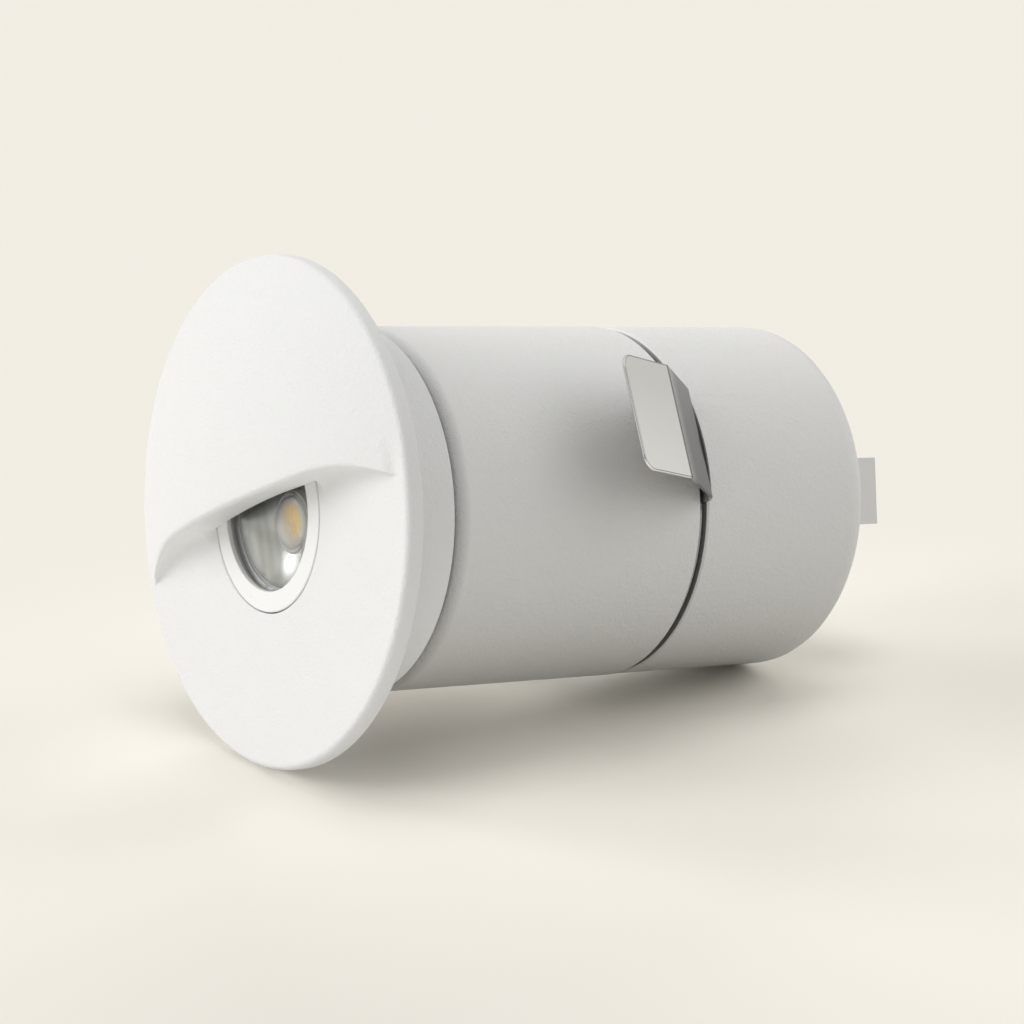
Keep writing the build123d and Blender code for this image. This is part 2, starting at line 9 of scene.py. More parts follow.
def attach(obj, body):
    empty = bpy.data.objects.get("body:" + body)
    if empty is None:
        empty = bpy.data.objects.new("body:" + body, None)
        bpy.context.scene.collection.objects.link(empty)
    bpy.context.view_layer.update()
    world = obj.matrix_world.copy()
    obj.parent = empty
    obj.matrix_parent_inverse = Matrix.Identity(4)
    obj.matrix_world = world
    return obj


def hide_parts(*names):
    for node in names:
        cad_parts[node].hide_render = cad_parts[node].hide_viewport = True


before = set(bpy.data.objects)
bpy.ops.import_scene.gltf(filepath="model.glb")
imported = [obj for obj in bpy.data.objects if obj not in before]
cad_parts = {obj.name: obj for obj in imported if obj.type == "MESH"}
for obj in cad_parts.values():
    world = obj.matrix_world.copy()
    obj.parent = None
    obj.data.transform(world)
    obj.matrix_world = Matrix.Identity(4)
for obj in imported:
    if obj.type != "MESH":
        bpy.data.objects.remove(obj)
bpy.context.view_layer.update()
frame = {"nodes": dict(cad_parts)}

# A recessed step light lying on a pale floor. Lengths below are in millimetres and are turned into
# metres where a mesh is made. The lamp's axis is Y, its face looks to -Y, and Z is up.

nodes = frame["nodes"]
MM = 0.001

# ---------------------------------------------------------------- sizes of the lamp, mm
BEZEL_RADIUS = 40.0
FACE_HEIGHT = 2.9
RIM_ROUND = 1.0
RIM_MARGIN = 0.6             # straight part between the columns of the face and the rim's round
RIM_TURN = 14.0              # degrees over which the hood sinks into the face at the lip's ends
RIM_SINK = 2.6               # width of the belt inside the rim where it does
BACK_EDGE = 0.35
DOME_HEIGHT = 10.2
DOME_RIM = 2.4
LIP_LEVEL = 1.2
LIP_FLAT = 20.0
LIP_CURVE = 37.0
LIP_ROUND = 0.8              # outer edge of the hood
LIP_RISE = 0.7               # the hood's underside climbs towards the lens
LIP_RISE_HALF = 15.0
FACE_FILLET = 2.8            # hollow between the hood's underside and the face
HOLLOW_FADE = 2.5            # width over which the hollow fades beside the trim ring
COLLAR_RADIUS = 29.3
COLLAR_LENGTH = 12.8
COLLAR_BORE = 26.0
WEB_BACK = 3.65
GASKET_INNER, GASKET_OUTER, GASKET_DEPTH = 32.0, 36.0, 0.9

RING_OUTER, RING_INNER = 15.5, 12.25
RING_GAP = 0.2
RING_EDGE = 0.18             # broken edge of the bore round the trim ring
RING_FLANGE, RING_STEP = 1.9, 1.0
RING_POCKET = 13.4
RING_LIP_BACK = -2.1
BORE_PAST = 0.05             # how far the bore's cutter reaches past the face
OPTIC_RADIUS = 13.2
WINDOW_FRONT, WINDOW_BACK = -1.85, -0.85
BOARD_FRONT = 1.65
OPTIC_DROP = 1.7
REFLECTOR_MOUTH, REFLECTOR_WAIST, REFLECTOR_THROAT = 11.9, 9.6, 5.0
WAIST_SHARE = 0.6
LENS_RADIUS, LENS_HEIGHT = 4.25, 2.3
LENS_FLANGE, LENS_FLANGE_HEIGHT = 4.75, 0.3
PHOSPHOR_RADIUS, PHOSPHOR_GLOW = 3.1, 0.3

TUBE_RADIUS, TUBE_FRONT, TUBE_BACK = 29.0, 13.3, 60.2
TUBE_FRONT_ROUND, TUBE_BACK_ROUND = 2.4, 0.3
TUBE_BORE, CORED_RADIUS = 25.4, 26.6
NECK_RADIUS = COLLAR_BORE - 0.15        # the tube's front neck, in the collar
NECK_BORE, NECK_LENGTH, NECK_BACK = NECK_RADIUS - 2.3, 3, 16.3
CORE_FRONT, CORE_BACK = 20.3, 56.2      # where the tube's wall is thinner
SPIGOT_RADIUS = 27.0
SPIGOT_BACK = 66.2
SEAL_FRONT, SEAL_BACK, SEAL_RADIUS = 63.1, 64.1, 26.1
CAP_RADIUS, CAP_FRONT, CAP_BACK = 28.9, 61.7, 96.4
CAP_FLOOR, CAP_BORE, CAP_ROUND, CAP_CHAMFER = 92.9, 27.1, 4.3, 0.3
NOTCH_BACK, NOTCH_MARGIN, NOTCH_RADIUS = 62.5, 0.7, 27.5
NOTCH_PAST = 1               # how far the notch's cutter reaches past the cap

CLIP_ANGLE = 4.5
CLIP_WIDTH, CLIP_THICKNESS = 18.6, 0.5
CLIP_LINE = ((29.6, 60.8), (40.9, 48.3), (46.5, 35.5))
CLIP_BEND, CLIP_CORNER, CLIP_ROOT_CORNER = 1.45, 2.4, 0.5
CLIP_EDGE = 0.22             # how far the round of the cut edge reaches in
BEND_REFLECTION_AT, BEND_REFLECTION = 48.3, 0.34    # a painted dark reflection along the bend: place, half width
ROOT_SHADE = (49.3, 52.4)    # where painted shade and reflection darken the clip towards its root
GROOVE_PALE = (12, 26)       # heights between which the bare metal in the grooves turns paler, as painted light from above


# ---------------------------------------------------------------- meshes
def grid_faces(rows, columns, wrap_rows=False, wrap_columns=False):
    """Four-cornered faces of a rows x columns grid of points, joined end to end where it wraps."""
    r = np.arange(rows if wrap_rows else rows - 1)
    c = np.arange(columns if wrap_columns else columns - 1)
    r, c = np.meshgrid(r, c, indexing="ij")
    r2, c2 = (r + 1) % rows, (c + 1) % columns
    corners = (r * columns + c, r * columns + c2, r2 * columns + c2, r2 * columns + c)
    return np.stack([k.ravel() for k in corners], axis=1)


def piece(name, points, faces, body="lamp", sharp=40):
    """A closed piece: its doubles are merged, its faces turned outwards and smooth up to an angle."""
    mesh = bpy.data.meshes.new(name)
    mesh.from_pydata((np.asarray(points) * MM).tolist(), [], np.asarray(faces).tolist())
    bm = bmesh.new()
    bm.from_mesh(mesh)
    bmesh.ops.remove_doubles(bm, verts=bm.verts, dist=0.0004 * MM)
    bmesh.ops.dissolve_degenerate(bm, edges=bm.edges, dist=0.0004 * MM)
    bmesh.ops.recalc_face_normals(bm, faces=bm.faces)
    bm.to_mesh(mesh)
    bm.free()
    obj = bpy.data.objects.new(name, mesh)
    bpy.context.scene.collection.objects.link(obj)
    smooth(obj, sharp)
    if body:
        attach(obj, body)
    return obj


def smooth(obj, sharp):
    """Shades a mesh smooth, with edges left sharp where they turn by more than an angle."""
    obj.data.polygons.foreach_set("use_smooth", np.ones(len(obj.data.polygons), bool))
    obj.data.set_sharp_from_angle(angle=radians(sharp))


def rounded(corners, steps=6, support=0.1):
    """A closed profile through (radius, depth, round) corners. Each round corner is an arc tangent
    to both sides, and has a point just before and after it, so that the sides shade flat."""
    out = []
    count = len(corners)
    for i, (x, y, r) in enumerate(corners):
        p = np.array((x, y), float)
        if r <= 0:
            out.append(p)
            continue
        to_last = np.array(corners[i - 1][:2], float) - p
        to_next = np.array(corners[(i + 1) % count][:2], float) - p
        u, v = to_last / np.linalg.norm(to_last), to_next / np.linalg.norm(to_next)
        half = acos(float(np.clip(u @ v, -1, 1))) / 2
        reach = r / tan(half)
        centre = p + (u + v) / np.linalg.norm(u + v) * r / sin(half)
        out.append(p + u * min(reach + support, np.linalg.norm(to_last) / 2 + reach / 2))
        first, last = p + u * reach - centre, p + v * reach - centre
        turn = pi - 2 * half
        for k in range(steps + 1):
            t = k / steps
            out.append(centre + (first * sin((1 - t) * turn) + last * sin(t * turn)) / sin(turn))
        out.append(p + v * min(reach + support, np.linalg.norm(to_next) / 2 + reach / 2))
    return np.array(out)


def turned_points(profile, steps, drop=0.0):
    """Profile points (radius, depth) carried round the axis: x = r cos a, z = r sin a - drop."""
    a = np.linspace(0, 2 * pi, steps, endpoint=False)[:, None]
    r, y = profile[:, 0][None], profile[:, 1][None]
    return np.stack([r * np.cos(a), y + 0 * a, r * np.sin(a) - drop], axis=-1).reshape(-1, 3)


def turned_piece(name, corners, steps=256, **more):
    """A turned piece: a closed profile with rounded corners, carried once round the axis."""
    profile = rounded(corners)
    points = turned_points(profile, steps)
    return piece(name, points, grid_faces(steps, len(profile), True, True), **more)


def cut(obj, *cutters):
    """Takes cutters away from a piece, and keeps the result as its mesh."""
    for cutter in cutters:
        change = obj.modifiers.new("cut", "BOOLEAN")
        change.operation, change.solver, change.object = "DIFFERENCE", "EXACT", cutter
        graph = bpy.context.evaluated_depsgraph_get()
        mesh = bpy.data.meshes.new_from_object(obj.evaluated_get(graph))
        obj.modifiers.clear()
        obj.data = mesh
        bpy.data.objects.remove(cutter)
    smooth(obj, 30)
    return obj


def clip_frame(angle):
    """Outward, axial and sideways directions at an angle above +X."""
    a = radians(angle)
    return np.array((cos(a), 0, sin(a))), np.array((0, 1.0, 0)), np.array((-sin(a), 0, cos(a)))


# ---------------------------------------------------------------- front casting
sphere_rise = DOME_HEIGHT - DOME_RIM
SPHERE = (BEZEL_RADIUS**2 + sphere_rise**2) / (2 * sphere_rise)
INNER_RADIUS = BEZEL_RADIUS - RIM_ROUND - RIM_MARGIN


def face_level(rho):
    """Height of the flat lower face above the wall."""
    return FACE_HEIGHT + 0 * rho


def dome_level(rho):
    """Height of the hood above the wall: a sphere."""
    return DOME_HEIGHT - SPHERE + np.sqrt(SPHERE**2 - rho**2)


def lip_line(x):
    """Level of the hood's edge: straight in the middle, drooping on arcs towards both ends."""
    over = np.clip(np.abs(x) - LIP_FLAT, 0, None)
    return LIP_LEVEL - LIP_CURVE + np.sqrt(LIP_CURVE**2 - over**2)


def hood_share(x, z):
    """1 on the hood, and 0 where its rim meets the lip's ends: it rises with the angle above them,
    and only in the belt inside the rim, both on the smooth curve 3s^2 - 2s^3."""
    lip_end = np.arcsin(lip_line(BEZEL_RADIUS) / BEZEL_RADIUS)
    turned = np.clip((np.arctan2(z, np.abs(x)) - lip_end) / radians(RIM_TURN), 0, 1)
    belt = np.clip(1 - (INNER_RADIUS - np.hypot(x, z)) / RIM_SINK, 0, 1)
    turned, belt = [s * s * (3 - 2 * s) for s in (turned, belt)]
    return 1 - belt * (1 - turned)


def hood_level(x, z):
    """Height of the hood above the wall, with its sunk ends."""
    rho = np.clip(np.hypot(x, z), 0, INNER_RADIUS)
    return face_level(rho) + (dome_level(rho) - face_level(rho)) * hood_share(x, z)


def rim_profile(of_hood, steps=8):
    """The rim from the end of the columns outwards, as (radius, height): straight on, then a quarter
    round tangent to the face or the hood and to the side."""
    centre = BEZEL_RADIUS - RIM_ROUND
    if of_hood:
        level = DOME_HEIGHT - SPHERE + sqrt((SPHERE - RIM_ROUND) ** 2 - centre**2)
        first = acos(centre / (SPHERE - RIM_ROUND))
    else:
        level, first = FACE_HEIGHT - RIM_ROUND, pi / 2
    a = np.linspace(first, 0, steps)
    arc = np.stack([centre + RIM_ROUND * np.cos(a), level + RIM_ROUND * np.sin(a)], 1)
    r = np.linspace(INNER_RADIUS, arc[0, 0], 4)[:-1]
    height = dome_level(r) if of_hood else face_level(r)
    return np.concatenate([np.stack([r, height], 1), arc])


def bezel_points():
    """The front in columns of equal x: up the flat face, round a hollow, out along the underside,
    round the lip and over the dome. x = R sin(u), so that the ends of the columns are spaced
    evenly round the rim. The rim and the turned back are added as rings on the same spacing."""
    half = 300
    u = np.linspace(-pi / 2, pi / 2, half + 1)
    x = INNER_RADIUS * np.sin(u)
    edge = INNER_RADIUS * np.cos(u)
    lip = np.clip(lip_line(x), -edge, edge)
    below = np.clip(lip + edge, 0, None)
    # past the lip's ends a column is hood from end to end, and has no underside
    ledge = np.where(below > 0, FACE_HEIGHT, hood_level(x, lip))
    wall = np.clip(hood_level(x, lip) - ledge, 0, None)
    # the hollow fades out where the trim ring's bore begins
    clear = np.clip((np.abs(x) - RING_OUTER - RING_GAP) / HOLLOW_FADE, 0, 1)
    hollow = np.minimum(FACE_FILLET, 0.7 * wall) * clear * clear * (3 - 2 * clear)
    hollow = np.minimum(hollow, below)
    edge_round = np.minimum(np.minimum(LIP_ROUND, 0.25 * wall), np.clip(edge - lip, 0, None))
    rise = LIP_RISE * np.clip(1 - (x / LIP_RISE_HALF) ** 2, 0, None)

    rows_z, rows_h = [], []
    t = np.sin(np.linspace(0, pi / 2, 44))[None]
    z = (lip + rise - hollow)[:, None] - (lip + rise - hollow + edge)[:, None] * t[:, ::-1]
    rows_z.append(z)
    foot = ledge[:, None]
    rows_h.append(foot + 0 * z)
    a = np.linspace(0, pi / 2, 8)[None, 1:]
    rows_z.append((lip + rise - hollow)[:, None] + hollow[:, None] * np.sin(a))
    rows_h.append(foot + hollow[:, None] * (1 - np.cos(a)))
    crown_z = (lip + edge_round)[:, None]
    crown = hood_level(x[:, None], crown_z)
    t = np.linspace(0, 1, 7)[None, 1:]
    start, end = foot + hollow[:, None], crown - edge_round[:, None]
    rows_h.append(start + (end - start) * t)
    rows_z.append((lip[:, None] + rise[:, None] * (1 - t)))
    rows_z.append(lip[:, None] + edge_round[:, None] * (1 - np.cos(a)))
    rows_h.append(crown - edge_round[:, None] * (1 - np.sin(a)))
    t = np.sin(np.linspace(0, pi / 2, 60))[None, 1:]
    z = crown_z + (edge[:, None] - crown_z) * t
    rows_z.append(z)
    rows_h.append(hood_level(x[:, None], z))
    z, h = np.concatenate(rows_z, 1), np.concatenate(rows_h, 1)
    skin = np.stack([x[:, None] + 0 * z, -h, z], axis=-1)
    count = z.shape[1]
    faces = grid_faces(half + 1, count)
    points = skin.reshape(-1, 3)

    # once round the ends of the columns: over the upper ends, back along the lower ends
    upper = np.arange(half + 1) * count + count - 1
    lower = np.arange(half + 1)[::-1] * count
    loop = np.concatenate([upper[:-1], lower[:-1]])
    angle = np.arctan2(points[loop, 2], points[loop, 0])
    angle[0], angle[half] = pi, 0
    on_face, on_hood = rim_profile(False), rim_profile(True)
    share = hood_share(INNER_RADIUS * np.cos(angle), INNER_RADIUS * np.sin(angle))[None, :, None]
    rim = on_face[:, None] * (1 - share) + on_hood[:, None] * share
    back = rounded(
        (
            (BEZEL_RADIUS, 0, BACK_EDGE),
            (GASKET_OUTER, 0, 0),
            (GASKET_OUTER, -GASKET_DEPTH, 0),
            (GASKET_INNER, -GASKET_DEPTH, 0),
            (GASKET_INNER, 0, 0),
            (COLLAR_RADIUS, 0, 0.2),
            (COLLAR_RADIUS, COLLAR_LENGTH, 0.4),
            (COLLAR_BORE, COLLAR_LENGTH, 0),
            (COLLAR_BORE, WEB_BACK, 0),
            (0, WEB_BACK, 0),
            (0, -FACE_HEIGHT, 0),
            (BEZEL_RADIUS, -FACE_HEIGHT, 0),
        )
    )[1:-2]
    radius = np.concatenate([rim[1:, :, 0], np.repeat(back[:, :1], len(loop), 1)])
    depth = np.concatenate([-rim[1:, :, 1], np.repeat(back[:, 1:], len(loop), 1)])
    rings = np.stack([radius * np.cos(angle), depth, radius * np.sin(angle)], axis=-1)
    ring_index = len(points) + np.arange(radius.size).reshape(radius.shape)
    index = np.concatenate([loop[None], ring_index], 0)
    following = np.roll(index, -1, axis=1)
    belts = np.stack([index[:-1], following[:-1], following[1:], index[1:]], axis=-1).reshape(-1, 4)
    return np.concatenate([points, rings.reshape(-1, 3)]), np.concatenate([faces, belts])


bezel = piece("bezel_casting", *bezel_points())
bore = turned_piece(
    "bore",
    (
        (0, -FACE_HEIGHT - BORE_PAST, 0),
        (RING_OUTER + RING_GAP + RING_EDGE + BORE_PAST, -FACE_HEIGHT - BORE_PAST, 0),
        (RING_OUTER + RING_GAP, -FACE_HEIGHT + RING_EDGE, 0),
        (RING_OUTER + RING_GAP, RING_STEP, 0),
        (RING_OUTER + RING_FLANGE + RING_GAP, RING_STEP, 0),
        (RING_OUTER + RING_FLANGE + RING_GAP, WEB_BACK + 1, 0),
        (0, WEB_BACK + 1, 0),
    ),
    body=None,
)
cut(bezel, bore)
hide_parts("bezel")

# ---------------------------------------------------------------- light opening
trim_ring = turned_piece(
    "trim_ring_face",
    (
        (RING_INNER, -FACE_HEIGHT, 0.2),
        (RING_OUTER, -FACE_HEIGHT, 0.25),
        (RING_OUTER, RING_STEP, 0),
        (RING_OUTER + RING_FLANGE, RING_STEP, 0),
        (RING_OUTER + RING_FLANGE, WEB_BACK, 0),
        (RING_POCKET, WEB_BACK, 0),
        (RING_POCKET, RING_LIP_BACK, 0),
        (RING_INNER, RING_LIP_BACK, 0.1),
    ),
)
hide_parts("trim_ring")

window = turned_piece(
    "window_cover",
    (
        (0, WINDOW_FRONT, 0),
        (OPTIC_RADIUS, WINDOW_FRONT, 0.08),
        (OPTIC_RADIUS, WINDOW_BACK, 0.08),
        (0, WINDOW_BACK, 0),
    ),
)
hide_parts("window")


def reflector_piece():
    """A bowl: circles whose radius and centre slide on a curve from the mouth to the throat, then
    a flat rim and back, closed."""
    t = np.linspace(0, 1, 28)
    knots = (0, WAIST_SHARE, 1)
    radii = (REFLECTOR_MOUTH, REFLECTOR_WAIST, REFLECTOR_THROAT)
    radius = np.polyval(np.polyfit(knots, radii, 2), t)
    drop = OPTIC_DROP * t
    depth = WINDOW_BACK + (BOARD_FRONT - WINDOW_BACK) * t
    shoulder = [OPTIC_RADIUS, OPTIC_RADIUS - 0.3, REFLECTOR_MOUTH + 0.05]
    radius = np.concatenate([shoulder, radius, [REFLECTOR_THROAT + 0.05, OPTIC_RADIUS]])
    drop = np.concatenate([[0, 0, 0], drop, [OPTIC_DROP, 0]])
    depth = np.concatenate([[WINDOW_BACK] * 3, depth, [BOARD_FRONT] * 2])
    steps = 256
    a = np.linspace(0, 2 * pi, steps, endpoint=False)[:, None]
    points = np.stack([radius * np.cos(a), depth + 0 * a, radius * np.sin(a) - drop], axis=-1)
    return piece("reflector_bowl", points.reshape(-1, 3), grid_faces(steps, len(radius), True, True))


reflector = reflector_piece()
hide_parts("reflector")


def dome_piece(name):
    """The LED's clear dome: a spherical cap on a thin flange, on the LED's own axis. The sphere's
    radius is (r^2 + h^2) / 2h."""
    rise = LENS_HEIGHT - LENS_FLANGE_HEIGHT
    sphere = (LENS_RADIUS**2 + rise**2) / (2 * rise)
    r = LENS_RADIUS * np.sin(np.linspace(0, pi / 2, 28))
    top = BOARD_FRONT - LENS_HEIGHT
    level = top + sphere - np.sqrt(sphere**2 - r**2)
    shoulder = BOARD_FRONT - LENS_FLANGE_HEIGHT
    foot = [
        (LENS_FLANGE - 0.1, shoulder),
        (LENS_FLANGE, shoulder + 0.1),
        (LENS_FLANGE, BOARD_FRONT),
        (0, BOARD_FRONT),
    ]
    profile = np.concatenate([np.stack([r, level], 1), foot])
    points = turned_points(profile, 160, OPTIC_DROP)
    return piece(name, points, grid_faces(160, len(profile), True, True), sharp=30)


lens = dome_piece("led_dome")
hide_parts("led_lens")

# ---------------------------------------------------------------- housing
tube = turned_piece(
    "housing_tube",
    (
        (NECK_BORE, COLLAR_LENGTH - NECK_LENGTH, 0),
        (NECK_RADIUS, COLLAR_LENGTH - NECK_LENGTH, 0),
        (NECK_RADIUS, TUBE_FRONT, 0),
        (TUBE_RADIUS, TUBE_FRONT, TUBE_FRONT_ROUND),
        (TUBE_RADIUS, TUBE_BACK, TUBE_BACK_ROUND),
        (SPIGOT_RADIUS, TUBE_BACK, 0),
        (SPIGOT_RADIUS, SEAL_FRONT, 0),
        (SEAL_RADIUS, SEAL_FRONT, 0),
        (SEAL_RADIUS, SEAL_BACK, 0),
        (SPIGOT_RADIUS, SEAL_BACK, 0),
        (SPIGOT_RADIUS, SPIGOT_BACK, 0),
        (TUBE_BORE, SPIGOT_BACK, 0),
        (TUBE_BORE, CORE_BACK, 0),
        (CORED_RADIUS, CORE_BACK, 0),
        (CORED_RADIUS, CORE_FRONT, 0),
        (TUBE_BORE, CORE_FRONT, 0),
        (TUBE_BORE, NECK_BACK, 0),
        (NECK_BORE, NECK_BACK, 0),
    ),
    steps=360,
)
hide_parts("front_tube")

cap = turned_piece(
    "housing_cap",
    (
        (CAP_BORE, CAP_FRONT, 0),
        (CAP_RADIUS - CAP_CHAMFER, CAP_FRONT, 0.1),
        (CAP_RADIUS, CAP_FRONT + CAP_CHAMFER, 0.15),
        (CAP_RADIUS, CAP_BACK, CAP_ROUND),
        (0, CAP_BACK, 0),
        (0, CAP_FLOOR, 0),
        (CAP_BORE, CAP_FLOOR, 0),
    ),
    steps=360,
)


def notch(angle):
    """The block that frees a clip's root from the cap's edge."""
    out, along, side = clip_frame(angle)
    depths = CAP_FRONT - NOTCH_PAST, NOTCH_BACK
    half = CLIP_WIDTH / 2 + NOTCH_MARGIN
    corners = [
        out * r + along * y + side * s
        for r in (NOTCH_RADIUS, CAP_RADIUS + NOTCH_PAST)
        for y in depths
        for s in (-half, half)
    ]
    faces = ((0, 1, 3, 2), (4, 6, 7, 5), (0, 4, 5, 1), (2, 3, 7, 6), (0, 2, 6, 4), (1, 5, 7, 3))
    return piece("notch", np.array(corners), faces, body=None)


cut(cap, notch(CLIP_ANGLE), notch(CLIP_ANGLE + 180))
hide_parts("rear_cap")


# ---------------------------------------------------------------- spring clips
def unit(v):
    """The vector's direction."""
    return v / np.linalg.norm(v)


ROOT, CREASE, TIP = [np.array(p) for p in CLIP_LINE]
RAMP_WAY, TAB_WAY = unit(CREASE - ROOT), unit(TIP - CREASE)
BEND_TURN = acos(float(RAMP_WAY @ TAB_WAY))
BEND_REACH = CLIP_BEND * tan(BEND_TURN / 2)
BEND_START = np.linalg.norm(CREASE - ROOT) - BEND_REACH
BEND_END = BEND_START + CLIP_BEND * BEND_TURN
CLIP_LENGTH = BEND_END + np.linalg.norm(TIP - CREASE) - BEND_REACH


def bent_line(t):
    """The clip's middle line at length t from its root, and its direction there: the ramp, an arc
    b (u sin a + w (1 - cos a)), and the tab. b is the bend's radius, u the ramp's way and w the way
    that it turns to."""
    a = np.clip((t - BEND_START) / CLIP_BEND, 0, BEND_TURN)[..., None]
    turned = (TAB_WAY - RAMP_WAY * cos(BEND_TURN)) / sin(BEND_TURN)
    arc = CLIP_BEND * (RAMP_WAY * np.sin(a) + turned * (1 - np.cos(a)))
    ramp, tab = np.minimum(t, BEND_START)[..., None], np.maximum(t - BEND_END, 0)[..., None]
    return ROOT + RAMP_WAY * ramp + arc + TAB_WAY * tab, RAMP_WAY * np.cos(a) + turned * np.sin(a)


def clip_piece(name, angle, body):
    """A sheet strip: an upper and a lower grid, and the round of the cut edge carried round both. The
    plan is a rectangle with corners on quarter circles, t = end - r + (r - e) sin a and
    s = w/2 - r + (r - e) cos a. The round goes e cos p outwards and h sin p up."""
    a = np.linspace(0, pi / 2, 10)
    root_r, tip_r, edge = CLIP_ROOT_CORNER, CLIP_CORNER, CLIP_EDGE
    last = CLIP_LENGTH - tip_r
    ramp = np.linspace(root_r, BEND_START, 14)
    bend = np.linspace(BEND_START, BEND_END, 9)
    tab = np.linspace(BEND_END, last, 14)
    middle = np.unique(np.concatenate([ramp, bend, tab]))[1:-1]
    t = np.concatenate(
        [root_r - (root_r - edge) * np.sin(a[::-1]), middle, last + (tip_r - edge) * np.sin(a)]
    )
    inset = np.concatenate(
        [
            root_r - (root_r - edge) * np.cos(a[::-1]),
            edge + 0 * middle,
            tip_r - (tip_r - edge) * np.cos(a),
        ]
    )
    half = CLIP_WIDTH / 2 - inset
    leaning = np.concatenate([-a[::-1], 0 * middle, a])
    across = np.concatenate([[-1], np.linspace(-0.988, 0.988, 25), [1]])
    rows, columns = len(t), len(across)
    plan = np.stack([t[:, None] + 0 * across, half[:, None] * across], axis=-1).reshape(-1, 2)
    index = np.arange(rows * columns).reshape(rows, columns)
    loop = np.concatenate([index[0, :-1], index[:-1, -1], index[-1, :0:-1], index[:0:-1, 0]])
    lean = (leaning[:, None] + 0 * across).ravel()[loop]
    hand = np.sign(plan[loop, 1])
    outward = np.stack([np.sin(lean), np.cos(lean) * hand], 1)

    p = np.linspace(pi / 2, -pi / 2, 9)[1:-1]
    rings = plan[loop][None] + (edge * np.cos(p))[:, None, None] * outward[None]
    level = CLIP_THICKNESS / 2 + 0 * plan[:, 0]
    heights = CLIP_THICKNESS / 2 * np.sin(p)[:, None] + 0 * lean[None]
    plans = np.concatenate([plan, plan, rings.reshape(-1, 2)])
    height = np.concatenate([level, -level, heights.ravel()])
    middle_line, way = bent_line(plans[:, 0])
    profile = middle_line + np.stack([-way[:, 1], way[:, 0]], 1) * height[:, None]
    out, along, side = clip_frame(angle)
    points = profile[:, :1] * out + profile[:, 1:] * along + plans[:, 1:] * side

    count = rows * columns
    ring_index = 2 * count + np.arange(len(p) * len(loop)).reshape(-1, len(loop))
    belt = np.concatenate([loop[None], ring_index, count + loop[None]])
    following = np.roll(belt, -1, axis=1)
    belts = np.stack([belt[:-1], following[:-1], following[1:], belt[1:]], axis=-1).reshape(-1, 4)
    sheet = grid_faces(rows, columns)
    obj = piece(name, points, np.concatenate([sheet, sheet + count, belts]), body=body, sharp=50)
    # no points are merged here, so the mesh keeps their order; the attribute is 1 where the round
    #     # begins, and marks a painted dark reflection there
    edge_reflection = np.isin(np.arange(len(points)), np.concatenate([loop, loop + count]))
    if len(obj.data.vertices) == len(points):
        values = obj.data.attributes.new("edge_reflection", "FLOAT", "POINT").data
        values.foreach_set("value", edge_reflection.astype(np.float32))
    return obj


clip_right = clip_piece("clip_right_leaf", CLIP_ANGLE, "right_clip")
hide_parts("clip_right")
clip_left = clip_piece("clip_left_leaf", CLIP_ANGLE + 180, "left_clip")
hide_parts("clip_left")


# ---------------------------------------------------------------- finishes
class Signal:
    """A number that varies over a surface. Sums, products and limits of it add Math nodes."""

    def __init__(self, nodes, socket):
        self.nodes, self.socket = nodes, socket

    def math(self, operation, first, second):
        node = self.nodes.add("ShaderNodeMath", {"operation": operation}, {0: first, 1: second})
        return Signal(self.nodes, node.outputs[0])

    def __add__(self, other):
        return self.math("ADD", self, other)

    def __sub__(self, other):
        return self.math("SUBTRACT", self, other)

    def __rsub__(self, other):
        return self.math("SUBTRACT", other, self)

    def __mul__(self, other):
        return self.math("MULTIPLY", self, other)

    def __pow__(self, other):
        return self.math("POWER", self, other)

    def limited(self):
        """The same number kept between 0 and 1."""
        return self.math("MINIMUM", self.math("MAXIMUM", self, 0.0), 1.0)

    def step(self, low, high):
        """0 below low, 1 above high, and straight between them."""
        return ((self - low) * (1 / (high - low))).limited()


class Nodes:
    """A node tree, and the one method that adds a node to it."""

    def __init__(self, tree):
        self.tree = tree

    def add(self, kind, settings=(), sockets=()):
        """A node of a kind, with its settings made first and its sockets given values or links."""
        node = self.tree.nodes.new(kind)
        for key, value in dict(settings).items():
            setattr(node, key, value)
        for key, value in dict(sockets).items():
            self.feed(node.inputs[key], value)
        return node

    def feed(self, socket, value):
        """Links a socket or signal to a socket, or sets its value."""
        if isinstance(value, Signal):
            value = value.socket
        if isinstance(value, bpy.types.NodeSocket):
            self.tree.links.new(value, socket)
        else:
            socket.default_value = value

    def blend(self, mask, low, high):
        """A colour going from low to high as the mask goes from 0 to 1."""
        ends = [c if isinstance(c, bpy.types.NodeSocket) else (*c, 1) for c in (low, high)]
        sockets = {0: mask, 6: ends[0], 7: ends[1]}
        return self.add("ShaderNodeMix", {"data_type": "RGBA"}, sockets).outputs[2]


